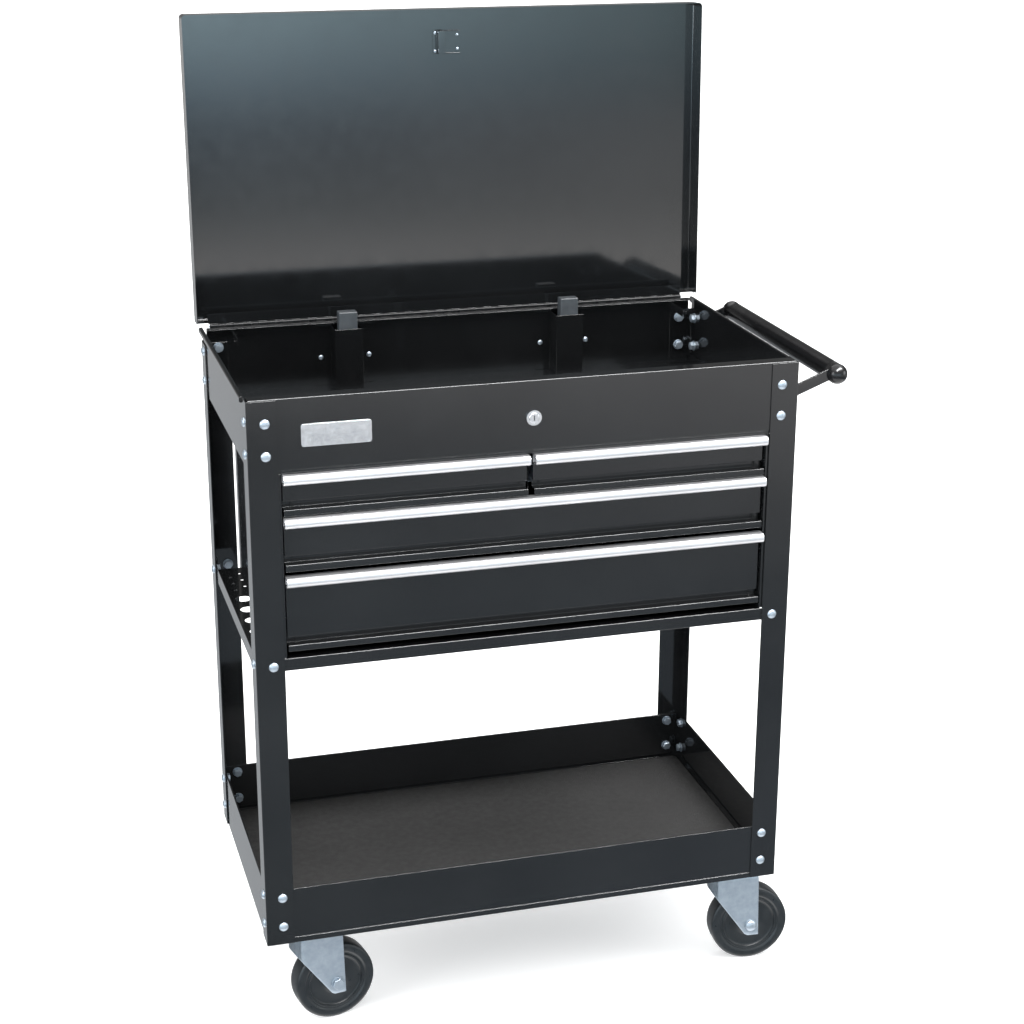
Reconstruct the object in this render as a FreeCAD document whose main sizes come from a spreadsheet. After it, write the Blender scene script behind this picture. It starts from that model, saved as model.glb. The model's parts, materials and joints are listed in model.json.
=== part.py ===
import FreeCAD, Part
import math
import os
import re

# Tool cart: folded-steel top box with a hinged lid, a four-drawer cabinet, an open lower
# tray, angle posts, a push handle and swivel casters.
# Cart coordinates: x from the left side, y from the front face, z from the floor (mm).
# The file's origin is at floor level under the middle of the whole object's bounding box.

SIZES = [
    # body envelope
    ("cart_width", 800.0), ("cart_depth", 434.0), ("left_side", -437.4), ("front_face", -235.9),
    ("post_foot", 170.0), ("post_top", 998.0), ("rear_post_top", 978.0),
    ("post_steel", 2.0), ("sheet_steel", 1.2), ("flange_front", 41.0), ("flange_side", 37.0),
    # bolts that hold everything to the posts
    ("bolt_inset", 25.0), ("bolt_side_inset", 20.0), ("bolt_hole", 4.2),
    ("bolt_high", 966.0), ("bolt_upper", 920.0), ("bolt_middle", 611.5),
    ("bolt_lower", 246.0), ("bolt_low", 199.0),
    # top box
    ("box_foot", 898.0), ("box_floor_top", 894.4), ("header_top", 999.5), ("side_rim", 996.5),
    ("rim_out", 3.0), ("rim_tall", 8.5), ("header_fold", 22.0), ("rear_fold", 16.0),
    ("rear_panel_inset", 8.0), ("channel_offset", 178.0), ("channel_half", 21.8),
    ("channel_deep", 39.0), ("channel_top", 990.0), ("plunger_half", 14.5),
    ("plunger_top", 1016.0),
    # drawer cabinet
    ("cabinet_inset", 43.6), ("cabinet_foot", 603.0), ("rail_top", 621.5), ("slide_gap", 13.2),
    ("drawer_end", 47.2), ("drawer_back", 400.0), ("drawer_face", 10.0), ("pull_height", 14.0),
    # lower tray
    ("tray_top", 258.0), ("tray_floor", 176.0), ("tray_strip", 178.5), ("mat_thick", 2.0),
    # lid
    ("hinge_back", 437.6), ("hinge_height", 998.0), ("hinge_start", 14.0), ("hinge_end", 780.0),
    ("knuckle_radius", 3.0), ("lid_over_side", 5.2), ("lid_over_front", 26.6),
    ("lid_top", 1027.7), ("lid_edge", 991.4), ("lid_steel", 1.0), ("lid_open_angle", 91.8),
    # handle
    ("handle_out", 65.0), ("handle_height", 973.0), ("handle_radius", 14.6),
    # lock
    ("lock_across", 402.5), ("lock_height", 946.0),
    # casters
    ("wheel_radius", 62.5), ("wheel_wide", 32.0), ("caster_trail", 44.3),
    ("caster_across", 63.6), ("caster_inset", 61.0), ("caster_plate_top", 169.0),
    # tool rack
    ("rack_top", 621.0), ("rack_foot", 598.0), ("rack_hole", 12.0),
]

doc = FreeCAD.newDocument("tool_cart")
sheet = doc.addObject("Spreadsheet::Sheet", "Sheet")
for row, (alias, number) in enumerate(SIZES, 1):
    sheet.set("A%d" % row, alias)
    sheet.set("B%d" % row, str(number))
    sheet.setAlias("B%d" % row, alias)
doc.recompute()

S = dict(SIZES)
V = FreeCAD.Vector
ALIAS = re.compile("[a-z_]{4,}")
pieces = []


def bind(obj, prop, formula):
    """Bind a property to a formula written with the sheet's names."""
    text = ALIAS.sub(lambda m: "Sheet." + m.group(0) if m.group(0) in S else m.group(0), str(formula))
    obj.setExpression(prop, text)


def place(obj, x, y, z):
    bind(obj, "Placement.Base.x", "left_side + (%s)" % x)
    bind(obj, "Placement.Base.y", "front_face + (%s)" % y)
    bind(obj, "Placement.Base.z", "%s" % z)
    return obj


def box(x0, x1, y0, y1, z0, z1):
    obj = doc.addObject("Part::Box", "Block")
    for prop, low, high in (("Length", x0, x1), ("Width", y0, y1), ("Height", z0, z1)):
        bind(obj, prop, "(%s) - (%s)" % (high, low))
    return place(obj, x0, y0, z0)


TURN = {"x": FreeCAD.Rotation(V(0, 1, 0), 90), "y": FreeCAD.Rotation(V(1, 0, 0), -90),
        "z": FreeCAD.Rotation()}


def rod(axis, x, y, z, radius, length):
    """A cylinder that starts at x, y, z and runs along +axis."""
    obj = doc.addObject("Part::Cylinder", "Rod")
    obj.Placement = FreeCAD.Placement(V(0, 0, 0), TURN[axis])
    bind(obj, "Radius", radius)
    bind(obj, "Height", length)
    return place(obj, x, y, z)


def join(parts):
    parts = list(parts)
    if len(parts) == 1:
        return parts[0]
    obj = doc.addObject("Part::MultiFuse", "Join")
    obj.Shapes = parts
    obj.Refine = True
    return obj


def cut(base, tools):
    obj = doc.addObject("Part::Cut", "Cut")
    obj.Base = base
    obj.Tool = join(tools)
    obj.Refine = True
    return obj


def group(parts):
    obj = doc.addObject("Part::Compound", "Set")
    obj.Links = list(parts)
    return obj


def soften(base, radius, wanted):
    """Round the edges for which wanted(low corner, high corner) is true, in cart coordinates."""
    doc.recompute()
    picked = []
    for index, edge in enumerate(base.Shape.Edges, 1):
        b = edge.BoundBox
        low = V(b.XMin - S["left_side"], b.YMin - S["front_face"], b.ZMin)
        high = V(b.XMax - S["left_side"], b.YMax - S["front_face"], b.ZMax)
        if wanted(low, high):
            picked.append((index, radius, radius))
    if not picked:
        raise ValueError("no edge to round on " + base.Name)
    obj = doc.addObject("Part::Fillet", "Round")
    obj.Base = base
    obj.Edges = picked
    return obj


def upright(low, high):
    return high.z - low.z > 0.5 and high.x - low.x < 0.01 and high.y - low.y < 0.01


def along_x(low, high):
    return high.x - low.x > 0.5 and high.y - low.y < 0.01 and high.z - low.z < 0.01


def along_y(low, high):
    return high.y - low.y > 0.5 and high.x - low.x < 0.01 and high.z - low.z < 0.01


def near(a, b):
    return abs(a - b) < 0.05


def piece(name, obj):
    obj.Label = name
    pieces.append(obj)
    return obj


def solid_piece(name, shape, placement=None):
    """A piece whose form is built directly, with its own placement."""
    obj = doc.addObject("Part::Feature", "Form")
    obj.Shape = shape
    if placement is not None:
        obj.Placement = placement
    return piece(name, obj)


def cart(x, y, z):
    return V(S["left_side"] + x, S["front_face"] + y, z)


WIDE, DEEP = S["cart_width"], S["cart_depth"]
FULL = ["bolt_high", "bolt_upper", "bolt_middle", "bolt_lower", "bolt_low"]


def mirrored(side, x0, x1):
    """Limits along x on the left side, or their mirror image on the right side."""
    if side == "left":
        return x0, x1
    return "cart_width - (%s)" % x1, "cart_width - (%s)" % x0


def bolt_x(side):
    return "bolt_inset" if side == "left" else "cart_width - bolt_inset"


def holes_through_y(y0, length, levels, sides=("left", "right")):
    return [rod("y", bolt_x(s), y0, z, "bolt_hole", length) for s in sides for z in levels]


def holes_through_x(side, reach, levels, ends=("front", "back")):
    x0 = "-1" if side == "left" else "cart_width + 1 - %s" % reach
    spots = {"front": "bolt_side_inset", "back": "cart_depth - bolt_side_inset"}
    return [rod("x", x0, spots[e], z, "bolt_hole", reach) for e in ends for z in levels]


# ---------------------------------------------------------------- posts
for end in ("front", "back"):
    top = "post_top" if end == "front" else "rear_post_top"
    face = ("0", "post_steel") if end == "front" else ("cart_depth - post_steel", "cart_depth")
    wing = ("0", "flange_side") if end == "front" else ("cart_depth - flange_side", "cart_depth")
    for side in ("left", "right"):
        angle = join([box(*mirrored(side, "0", "flange_front"), *face, "post_foot", top),
                      box(*mirrored(side, "0", "post_steel"), *wing, "post_foot", top)])
        corner = (0.0 if side == "left" else WIDE, 0.0 if end == "front" else DEEP)
        angle = soften(angle, 1.9, lambda a, b: upright(a, b) and near(a.x, corner[0])
                       and near(a.y, corner[1]))
        start = "-5" if end == "front" else "cart_depth - 10"
        tools = holes_through_y(start, 15, FULL, (side,)) + holes_through_x(side, 8, FULL, (end,))
        piece("post_%s_%s" % (end, side), cut(angle, tools))

# ---------------------------------------------------------------- top box
inner = "post_steel + sheet_steel"
header = join([
    box("3.4", "cart_width - 3.4", "post_steel", inner, "box_foot", "header_top"),
    box("3.4", "cart_width - 3.4", "post_steel", "post_steel + header_fold",
        "header_top - sheet_steel", "header_top"),
    box("3.4", "cart_width - 3.4", "post_steel + header_fold - sheet_steel",
        "post_steel + header_fold", "header_top - 11", "header_top")])
header = soften(header, 1.1, lambda a, b: along_x(a, b) and near(a.y, 2.0) and near(a.z, 999.5))
piece("header_panel", cut(header, holes_through_y("0", 8, FULL[:2])
                          + [rod("y", "lock_across", "0", "lock_height", 9.5, 8)]))

for side in ("left", "right"):
    wall = join([
        box(*mirrored(side, "post_steel", inner), "3.4", "cart_depth - 3.4",
            "box_foot", "side_rim - 2"),
        box(*mirrored(side, inner, "40"), "3.4", "3.4 + sheet_steel", "box_foot + 2", "side_rim - 2"),
        box(*mirrored(side, inner, "40"), "cart_depth - 3.4 - sheet_steel", "cart_depth - 3.4",
            "box_foot + 2", "rear_post_top - 4")])
    rim = box(*mirrored(side, "-rim_out", inner), "flange_side + 0.3", "cart_depth + 6",
              "side_rim - rim_tall", "side_rim")
    outer = -S["rim_out"] if side == "left" else WIDE + S["rim_out"]
    rim = soften(rim, 2.8, lambda a, b: along_y(a, b) and near(a.x, outer))
    tools = (holes_through_x(side, 8, FULL[:2]) + holes_through_y("1", 8, FULL[:2], (side,))
             + holes_through_y("cart_depth - 8", 8, FULL[:2], (side,)))
    piece("side_panel_" + side, cut(join([wall, rim]), tools))

channel_x = ["cart_width / 2 - channel_offset", "cart_width / 2 + channel_offset"]
rivet_x = ["%s %s 38" % (c, sign) for c in channel_x for sign in ("-", "+")]
back = join([
    box("rear_panel_inset", "cart_width - rear_panel_inset", "cart_depth - 3.2",
        "cart_depth - post_steel", "box_floor_top - sheet_steel", "side_rim + 0.2"),
    box("rear_panel_inset", "cart_width - rear_panel_inset", "cart_depth - post_steel - rear_fold",
        "cart_depth - post_steel", "side_rim - 1", "side_rim + 0.2")])
piece("back_panel", cut(back, holes_through_y("cart_depth - 8", 10, FULL[:2])
                        + [rod("y", x, "cart_depth - 8", 939, 2.3, 10) for x in rivet_x]))

tray_under = "box_floor_top - sheet_steel"
rear_edge = "cart_depth - 3.2"
floor_parts = [box("4.8", "cart_width - 4.8", "4.8", rear_edge, tray_under, "box_floor_top"),
               box("4.8", "6", "4.8", rear_edge, tray_under, "904"),
               box("cart_width - 6", "cart_width - 4.8", "4.8", rear_edge, tray_under, "904"),
               box("flange_front", "cart_width - flange_front", "3.4", "4.8", tray_under, "904")]
slots = [box("%s - 9" % c, "%s + 9" % c, "401", "410", "880", "900") for c in channel_x]
piece("box_floor", cut(join(floor_parts), slots))

hats = []
for c in channel_x:
    back_face = "cart_depth - 3.4"
    hat = join([
        box("%s - channel_half" % c, "%s + channel_half" % c, "cart_depth - 2 - channel_deep",
            "cart_depth - 2 - channel_deep + sheet_steel", "box_floor_top + 0.2", "channel_top"),
        box("%s - channel_half" % c, "%s - channel_half + sheet_steel" % c,
            "cart_depth - 2 - channel_deep", back_face, "box_floor_top + 0.2", "channel_top"),
        box("%s + channel_half - sheet_steel" % c, "%s + channel_half" % c,
            "cart_depth - 2 - channel_deep", back_face, "box_floor_top + 0.2", "channel_top"),
        box("%s - 46" % c, "%s - channel_half + sheet_steel" % c, "cart_depth - 4.6", back_face,
            "box_floor_top + 0.2", "channel_top"),
        box("%s + channel_half - sheet_steel" % c, "%s + 46" % c, "cart_depth - 4.6", back_face,
            "box_floor_top + 0.2", "channel_top")])
    hats.append(cut(hat, [rod("y", "%s %s 38" % (c, s), "cart_depth - 8", 939, 2.3, 10)
                          for s in ("-", "+")]))
piece("lock_channels", group(hats))

braces = []
for side in ("left", "right"):
    braces.append(join([
        box(*mirrored(side, "44.4", "45.6"), "359", "cart_depth - 3.2", "984", "995.3"),
        box(*mirrored(side, "44.4", "56"), "cart_depth - 4.4", "cart_depth - 3.2", "984", "995.3")]))
piece("corner_braces", group(braces))

badge = soften(box("74", "172", "0.6", "post_steel", "930", "962"), 4.0,
               lambda a, b: near(b.y - a.y, 1.4) and near(a.x, b.x) and near(a.z, b.z))
piece("badge_plate", badge)

# ---------------------------------------------------------------- drawer cabinet
for side in ("left", "right"):
    piece("cabinet_side_" + side, join([
        box(*mirrored(side, "cabinet_inset", "cabinet_inset + sheet_steel"), "3.4",
            "cart_depth - 3.4", "cabinet_foot + 1.4", "box_floor_top - 1.4"),
        box(*mirrored(side, "cabinet_inset - 11", "cabinet_inset + sheet_steel"), "3.4", "4.6",
            "rail_top + 1", "box_floor_top - 1.4")]))
piece("cabinet_back", box("cabinet_inset + 1.4", "cart_width - cabinet_inset - 1.4",
                          "cart_depth - 4.6", "cart_depth - 3.4", "cabinet_foot + 1.4",
                          "box_floor_top - 1.4"))
shelf = join([
    box("cabinet_inset", "cart_width - cabinet_inset", "3", "cart_depth - 3", "cabinet_foot",
        "cabinet_foot + sheet_steel"),
    box("3.4", "cart_width - 3.4", "post_steel", inner, "cabinet_foot", "rail_top"),
    box("cabinet_inset + 1.5", "cart_width - cabinet_inset - 1.5", "post_steel", "16",
        "rail_top - sheet_steel", "rail_top")])
shelf = soften(shelf, 1.1, lambda a, b: along_x(a, b) and near(a.y, 2.0) and b.x - a.x > 600)
piece("cabinet_bottom", cut(shelf, holes_through_y("0", 8, ["bolt_middle"])))
piece("drawer_divider", join([
    box("cart_width / 2 - 0.6", "cart_width / 2 + 0.6", "20", "cart_depth - 5", "832",
        "box_floor_top - 1.4"),
    box("cart_width / 2 - 10", "cart_width / 2 + 10", "20", "cart_depth - 5",
        "box_floor_top - 2.6", "box_floor_top - 1.4")]))

# ---------------------------------------------------------------- drawers
# name, left end, right end, box left, box right, pull top, face foot, lip top, lip foot,
# box foot, box top, slide height
mid_left, mid_right = "cart_width / 2 - 4.4", "cart_width / 2 + 4.4"
box_left, box_right = "cabinet_inset + 1.2 + slide_gap", "cart_width - cabinet_inset - 1.2 - slide_gap"
far_end = "cart_width - drawer_end"
DRAWERS = [
    ("top_left", "drawer_end", mid_left, box_left, "cart_width / 2 - 0.6 - slide_gap",
     892.0, 851.0, 841.0, 831.5, 834.5, 884.0, 860.0),
    ("top_right", mid_right, far_end, "cart_width / 2 + 0.6 + slide_gap", box_right,
     892.0, 851.0, 841.0, 831.5, 834.5, 884.0, 860.0),
    ("middle", "drawer_end", far_end, box_left, box_right,
     829.5, 770.5, 760.3, 750.3, 753.5, 821.0, 787.0),
    ("deep", "drawer_end", far_end, box_left, box_right,
     743.3, 650.5, 641.0, 632.0, 635.5, 735.0, 690.0),
]
outer_members = []
for name, x0, x1, b0, b1, top, face, lip, foot, low, high, level in DRAWERS:
    steel = "sheet_steel"
    front = [
        box(x0, x1, "drawer_face", "drawer_face + sheet_steel", face, top - 1),
        box(x0, x1, "drawer_face", "drawer_face + 7.2", face, "%s + sheet_steel" % face),
        box(x0, x1, "drawer_face + 6", "drawer_face + 7.2", "%s - sheet_steel" % lip,
            "%s + sheet_steel" % face),
        box(x0, x1, "1.5", "drawer_face + 7.2", "%s - sheet_steel" % lip, lip),
        box(x0, x1, "1.5", "1.5 + sheet_steel", foot, lip)]
    pan = [
        box(b0, b1, "drawer_face + 1", "drawer_back", low, "%s + 1" % low),
        box(b0, "%s + 1" % b0, "drawer_face + 1", "drawer_back", low, high),
        box("%s - 1" % b1, b1, "drawer_face + 1", "drawer_back", low, high),
        box(b0, b1, "drawer_back - 1", "drawer_back", low, high),
        box(b0, b1, "drawer_face + 6", "drawer_face + 7.2", low, "%s - 0.6" % lip),
        box(b0, "%s + 7" % b0, "drawer_face + 1", "drawer_back", high - 1.0, high),
        box("%s - 7" % b1, b1, "drawer_face + 1", "drawer_back", high - 1.0, high)]
    body = soften(join(front + pan), 0.9, lambda a, b: along_x(a, b) and b.x - a.x > 200
                  and (near(a.y, 10.0) and near(a.z, face) or near(a.y, 1.5) and near(a.z, lip)))
    piece("drawer_" + name, body)

    # pull: top flange, half-round nose with a finger lip, and the leg screwed to the face
    p0, p1 = "%s - 0.6" % x0, "%s + 0.6" % x1
    wide = "(%s) - (%s)" % (p1, p0)
    nose = cut(rod("x", p0, "-3", top - 7, 7, wide),
               [rod("x", "%s - 1" % p0, "-3", top - 7, 4.6, "%s + 2" % wide),
                box("%s - 1" % p0, "%s + 1" % p1, "-3", "6", top - 15, top + 1)])
    piece("pull_" + name, join([
        nose, box(p0, p1, "-3.01", "drawer_face", top - 2.4, top),
        box(p0, p1, "-3.01", "0.5", top - 14, top - 11.6),
        box(p0, p1, "drawer_face - 2.2", "drawer_face", top - 13, top - 2.4)]))

    # two-member ball slides: outer channels on the cabinet, inner channels on the drawer
    inner_members = []
    for wall, sign in (("%s - slide_gap" % b0, 1), ("%s + slide_gap" % b1, -1)):
        def span(a, b):
            ends = ["%s + %s" % (wall, a), "%s + %s" % (wall, b)]
            if sign < 0:
                ends = ["%s - %s" % (wall, b), "%s - %s" % (wall, a)]
            return ends
        outer_members.append(join([
            box(*span(0.1, 1.3), 30, 400, level - 17, level + 17),
            box(*span(0.1, 8.5), 30, 400, level + 15.8, level + 17),
            box(*span(0.1, 8.5), 30, 400, level - 17, level - 15.8)]))
        inner_members.append(join([
            box(*span(11.9, 13.1), 20, 396, level - 12, level + 12),
            box(*span(4.5, 13.1), 20, 396, level + 10.8, level + 12),
            box(*span(4.5, 13.1), 20, 396, level - 12, level - 10.8)]))
    piece("slide_inner_" + name, group(inner_members))
piece("slide_outer_members", group(outer_members))

# ---------------------------------------------------------------- lower tray and mat
walls = [
    box("3", "cart_width - 3", "post_steel", inner, "tray_strip", "tray_top"),
    box("3", "cart_width - 3", "3", "4.2", "post_foot", "tray_strip + 1.2"),
    box("flange_front + 0.3", "cart_width - flange_front - 0.3", "0.6", "3.1", "post_foot", "tray_strip"),
    box("3", "cart_width - 3", "cart_depth - 3.2", "cart_depth - post_steel", "post_foot", "tray_top"),
    box("post_steel", inner, "2.6", "cart_depth - 2.6", "post_foot", "tray_top"),
    box("cart_width - 3.2", "cart_width - post_steel", "2.6", "cart_depth - 2.6", "post_foot",
        "tray_top"),
    # folded-over hem along the top
    box("3", "cart_width - 3", "3", "4.4", "tray_top - 3.4", "tray_top"),
    box("3", "cart_width - 3", "cart_depth - 4.4", "cart_depth - 3", "tray_top - 3.4", "tray_top"),
    box("3", "4.4", "3", "cart_depth - 3", "tray_top - 3.4", "tray_top"),
    box("cart_width - 4.4", "cart_width - 3", "3", "cart_depth - 3", "tray_top - 3.4", "tray_top"),
    box("3", "cart_width - 3", "3", "cart_depth - 3", "tray_floor", "tray_floor + sheet_steel")]
caster_x = ["caster_across", "cart_width - caster_across"]
for c in caster_x:      # stiffening rails welded under the floor carry the casters
    walls += [box("%s - 52" % c, "%s + 52" % c, "12", "cart_depth - 12", "caster_plate_top",
                  "caster_plate_top + 1.2"),
              box("%s - 52" % c, "%s - 50.8" % c, "12", "cart_depth - 12", "caster_plate_top",
                  "tray_floor + 0.5"),
              box("%s + 50.8" % c, "%s + 52" % c, "12", "cart_depth - 12", "caster_plate_top",
                  "tray_floor + 0.5")]
tray = join(walls)
caster_y = ["caster_inset", "cart_depth - caster_inset"]
plate_bolts = [("%s %s 37" % (c, sx), "%s %s 27" % (d, sy))
               for c in caster_x for d in caster_y for sx in "-+" for sy in "-+"]
tools = [rod("z", x, y, "caster_plate_top - 1", "bolt_hole", 4) for x, y in plate_bolts]
tools += holes_through_y("0", 8, FULL[3:]) + holes_through_y("cart_depth - 8", 10, FULL[3:])
tools += holes_through_x("left", 8, FULL[3:]) + holes_through_x("right", 8, FULL[3:])
piece("lower_tray", cut(tray, tools))
piece("tray_mat", soften(box("9", "cart_width - 9", "9", "cart_depth - 9",
                             "tray_floor + sheet_steel", "tray_floor + sheet_steel + mat_thick"),
                         7.0, upright))

# ---------------------------------------------------------------- tool rack, left side
rack = join([
    box("post_steel", inner, "8", "cart_depth - 8", "rack_foot", "rack_top"),
    box("post_steel", "cabinet_inset - 0.2", "40", "384", "rack_top - sheet_steel", "rack_top"),
    box("cabinet_inset - 1.4", "cabinet_inset - 0.2", "40", "384", "rack_top - 12", "rack_top")])
rack = soften(rack, 1.1, lambda a, b: along_y(a, b) and near(a.x, 2.0) and near(a.z, 621.0))
big = [rod("z", 22, 73 + 44.3 * i, "rack_top - 3", "rack_hole", 6) for i in range(5)]
small = [rod("z", 16 + 16 * (i % 2), 288 + 14 * i, "rack_top - 3", 2.6, 6) for i in range(6)]
piece("tool_rack", cut(rack, big + small + holes_through_x("left", 8, ["bolt_middle"])))

# ---------------------------------------------------------------- handle, right side
axle_x = "cart_width + handle_out"
piece("handle_tube", cut(
    rod("y", axle_x, 11, "handle_height", "handle_radius", "cart_depth - 22"),
    [rod("y", axle_x, 10, "handle_height", "handle_radius - 2", "cart_depth - 20")]))


def cap(y, outward):
    """A rounded end plug; its stem sits inside the tube."""
    centre = cart(WIDE + S["handle_out"], y, S["handle_height"])
    ball = Part.makeSphere(15.0, centre)
    half = ball.common(Part.makeBox(40, 20, 40, centre - V(20, 20 if outward < 0 else 0, 20)))
    stem = Part.makeCylinder(S["handle_radius"] - 2.1, 12, centre, V(0, -outward, 0))
    return half.fuse(stem).removeSplitter()


solid_piece("handle_caps", Part.makeCompound([cap(11.0, -1), cap(DEEP - 11.0, 1)]))

arms = []
for end, y_low in (("front", 11.6), ("back", DEEP - 14.8)):
    foot_y = (9.2, 34.0) if end == "front" else (DEEP - 34.0, DEEP - 9.2)
    foot = box("cart_width", "cart_width + 3", *foot_y, "906", "980")
    outline = [(WIDE, 944), (WIDE, 960.5), (WIDE + 50, 980), (WIDE + 65, 980), (WIDE + 65, 963.5),
               (WIDE + 53, 963.5), (WIDE + 3, 944)]
    wire = Part.makePolygon([cart(x, y_low, z) for x, z in outline + outline[:1]])
    arm = doc.addObject("Part::Feature", "Arm")
    arm.Shape = Part.Face(wire).extrude(V(0, 3.2, 0))
    saddle = rod("y", axle_x, y_low - 5, "handle_height", "handle_radius + 0.05", 14)
    arms.append(cut(join([foot, arm]), [saddle] + [
        rod("x", "cart_width - 1", "bolt_side_inset" if end == "front" else
            "cart_depth - bolt_side_inset", z, "bolt_hole", 8) for z in FULL[:2]]))
piece("handle_brackets", group(arms))

# ---------------------------------------------------------------- lock
lock = ("lock_across", "lock_height")
piece("lock_housing", cut(
    join([rod("y", lock[0], "-1.4", lock[1], 11, 3.4), rod("y", lock[0], "1", lock[1], 9.4, 21)]),
    [rod("y", lock[0], "-3", lock[1], 7.5, 30)]))
plug = soften(rod("y", lock[0], "-2.4", lock[1], 7.44, 26.4), 0.8,
              lambda a, b: near(a.y, -2.4) and near(b.y, -2.4))
piece("lock_plug", cut(plug, [box("lock_across - 0.8", "lock_across + 0.8", "-4", "10",
                                  "lock_height - 4", "lock_height + 4")]))
piece("lock_cam", box("lock_across - 8", "lock_across + 8", 24, 26.5, "lock_height - 40",
                      "lock_height + 9"))

# ---------------------------------------------------------------- hinge and lid
# The lid is drawn closed and then swung open about the hinge axis.
axis_point = cart(0, S["hinge_back"], S["hinge_height"])
swing = FreeCAD.Rotation(V(1, 0, 0), -S["lid_open_angle"])
opened = FreeCAD.Placement(axis_point - swing.multVec(axis_point), swing)

COUNT = 60
step = (S["hinge_end"] - S["hinge_start"]) / COUNT
body_leaf, lid_leaf, drill = [], [], []
for i in range(COUNT):
    a, b = S["hinge_start"] + step * i + 0.15, S["hinge_start"] + step * (i + 1) - 0.15
    knuckle = rod("x", a, "hinge_back", "hinge_height", "knuckle_radius", b - a)
    if i % 2 == 0:
        body_leaf += [knuckle, box(a, b, "cart_depth - 2", "hinge_back", "hinge_height - 3",
                                   "hinge_height - 1.8"),
                      box(a, b, "cart_depth - 2", "cart_depth - 0.8", "hinge_height - 5",
                          "hinge_height - 1.8")]
    else:
        lid_leaf += [knuckle, box(a, b, "cart_depth", "hinge_back", "hinge_height + 1.8",
                                  "hinge_height + 3"),
                     box(a, b, "cart_depth", "cart_depth + 1.2", "hinge_height + 1.8",
                         "hinge_height + 5")]
body_leaf.append(box("hinge_start", "hinge_end", "cart_depth - 2", "cart_depth - 0.8",
                     "hinge_height - 16", "hinge_height - 4"))
lid_leaf.append(box("hinge_start", "hinge_end", "cart_depth", "cart_depth + 1.2",
                    "hinge_height + 3.4", "hinge_height + 18"))
pin_bore = rod("x", "hinge_start - 5", "hinge_back", "hinge_height", 1.45, "hinge_end - hinge_start + 10")
piece("hinge_leaf_body", cut(join(body_leaf), [pin_bore]))
piece("hinge_pin", rod("x", "hinge_start - 1", "hinge_back", "hinge_height", 1.4,
                       "hinge_end - hinge_start + 2"))
lid_leaf = cut(join(lid_leaf), [pin_bore])


def lid_block(inset, low, corner, bend):
    block = box("-lid_over_side + %s" % inset, "cart_width + lid_over_side - %s" % inset,
                "-lid_over_front + %s" % inset, "cart_depth - %s" % inset, low,
                "lid_top - %s" % inset)
    top = S["lid_top"] - inset
    block = soften(block, corner, lambda a, b: upright(a, b) and a.y < 100)
    return soften(block, bend, lambda a, b: near(a.z, top) and near(b.z, top))


shell = cut(lid_block(0, "lid_edge", 6.0, 2.4), [
    lid_block(1.0, "lid_edge - 5", 5.0, 1.4),
    box("-20", "cart_width + 20", "cart_depth - 1.8", "cart_depth + 5", "980", "hinge_height + 2"),
    box("-lid_over_side + 1", "12", "cart_depth - 3", "cart_depth + 5", "980", "hinge_height + 5"),
    box("hinge_end", "cart_width + lid_over_side - 1", "cart_depth - 3", "cart_depth + 5", "980",
        "hinge_height + 12")])
lip_top = "hinge_height + 3.2"
lid_shape = join([shell, box("12", "hinge_end", "cart_depth - 14.4", "cart_depth",
                             "hinge_height + 2", lip_top)])
latch = join([
    box("380", "387", "7", "42", "lid_top - 2.6", "lid_top - 1"),
    box("386", "387.6", "7", "42", "lid_top - 14", "lid_top - 1"),
    box("386", "397", "7", "42", "lid_top - 14", "lid_top - 12.4"),
    box("395.4", "397", "7", "42", "lid_top - 14", "lid_top - 1"),
    box("396", "422", "7", "42", "lid_top - 2.6", "lid_top - 1"),
    # turned lips of the wide plate, and the rivets of both plates
    box("399", "422", "7", "8.2", "lid_top - 5", "lid_top - 1"),
    box("399", "422", "40.8", "42", "lid_top - 5", "lid_top - 1"),
    rod("z", 383.2, 11, "lid_top - 3.8", 2.3, 2), rod("z", 383.2, 38, "lid_top - 3.8", 2.3, 2),
    rod("z", 418, 14, "lid_top - 3.6", 1.9, 2), rod("z", 418, 35, "lid_top - 3.6", 1.9, 2)])
doc.recompute()
for name, closed in (("lid_panel", lid_shape), ("lid_hinge_leaf", lid_leaf), ("lid_catch", latch)):
    solid_piece(name, closed.Shape.copy(), opened)

# ---------------------------------------------------------------- lid-operated lock plungers
for side, c in zip(("left", "right"), channel_x):
    piece("plunger_" + side, soften(
        box("%s - plunger_half" % c, "%s + plunger_half" % c, "396", "414", "950", "plunger_top"),
        1.5, lambda a, b: near(b.z, S["plunger_top"]) or upright(a, b)))
    bar = [box("%s - 7" % c, "%s + 7" % c, "404", "407", "640", "950")]
    bar += [box("%s - 7" % c, "%s + 7" % c, "401.6", "404.5", z, z + 11) for z in (690, 790, 866)]
    piece("lock_bar_" + side, join(bar))

# ---------------------------------------------------------------- casters
trail, radius = S["caster_trail"], S["wheel_radius"]


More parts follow.
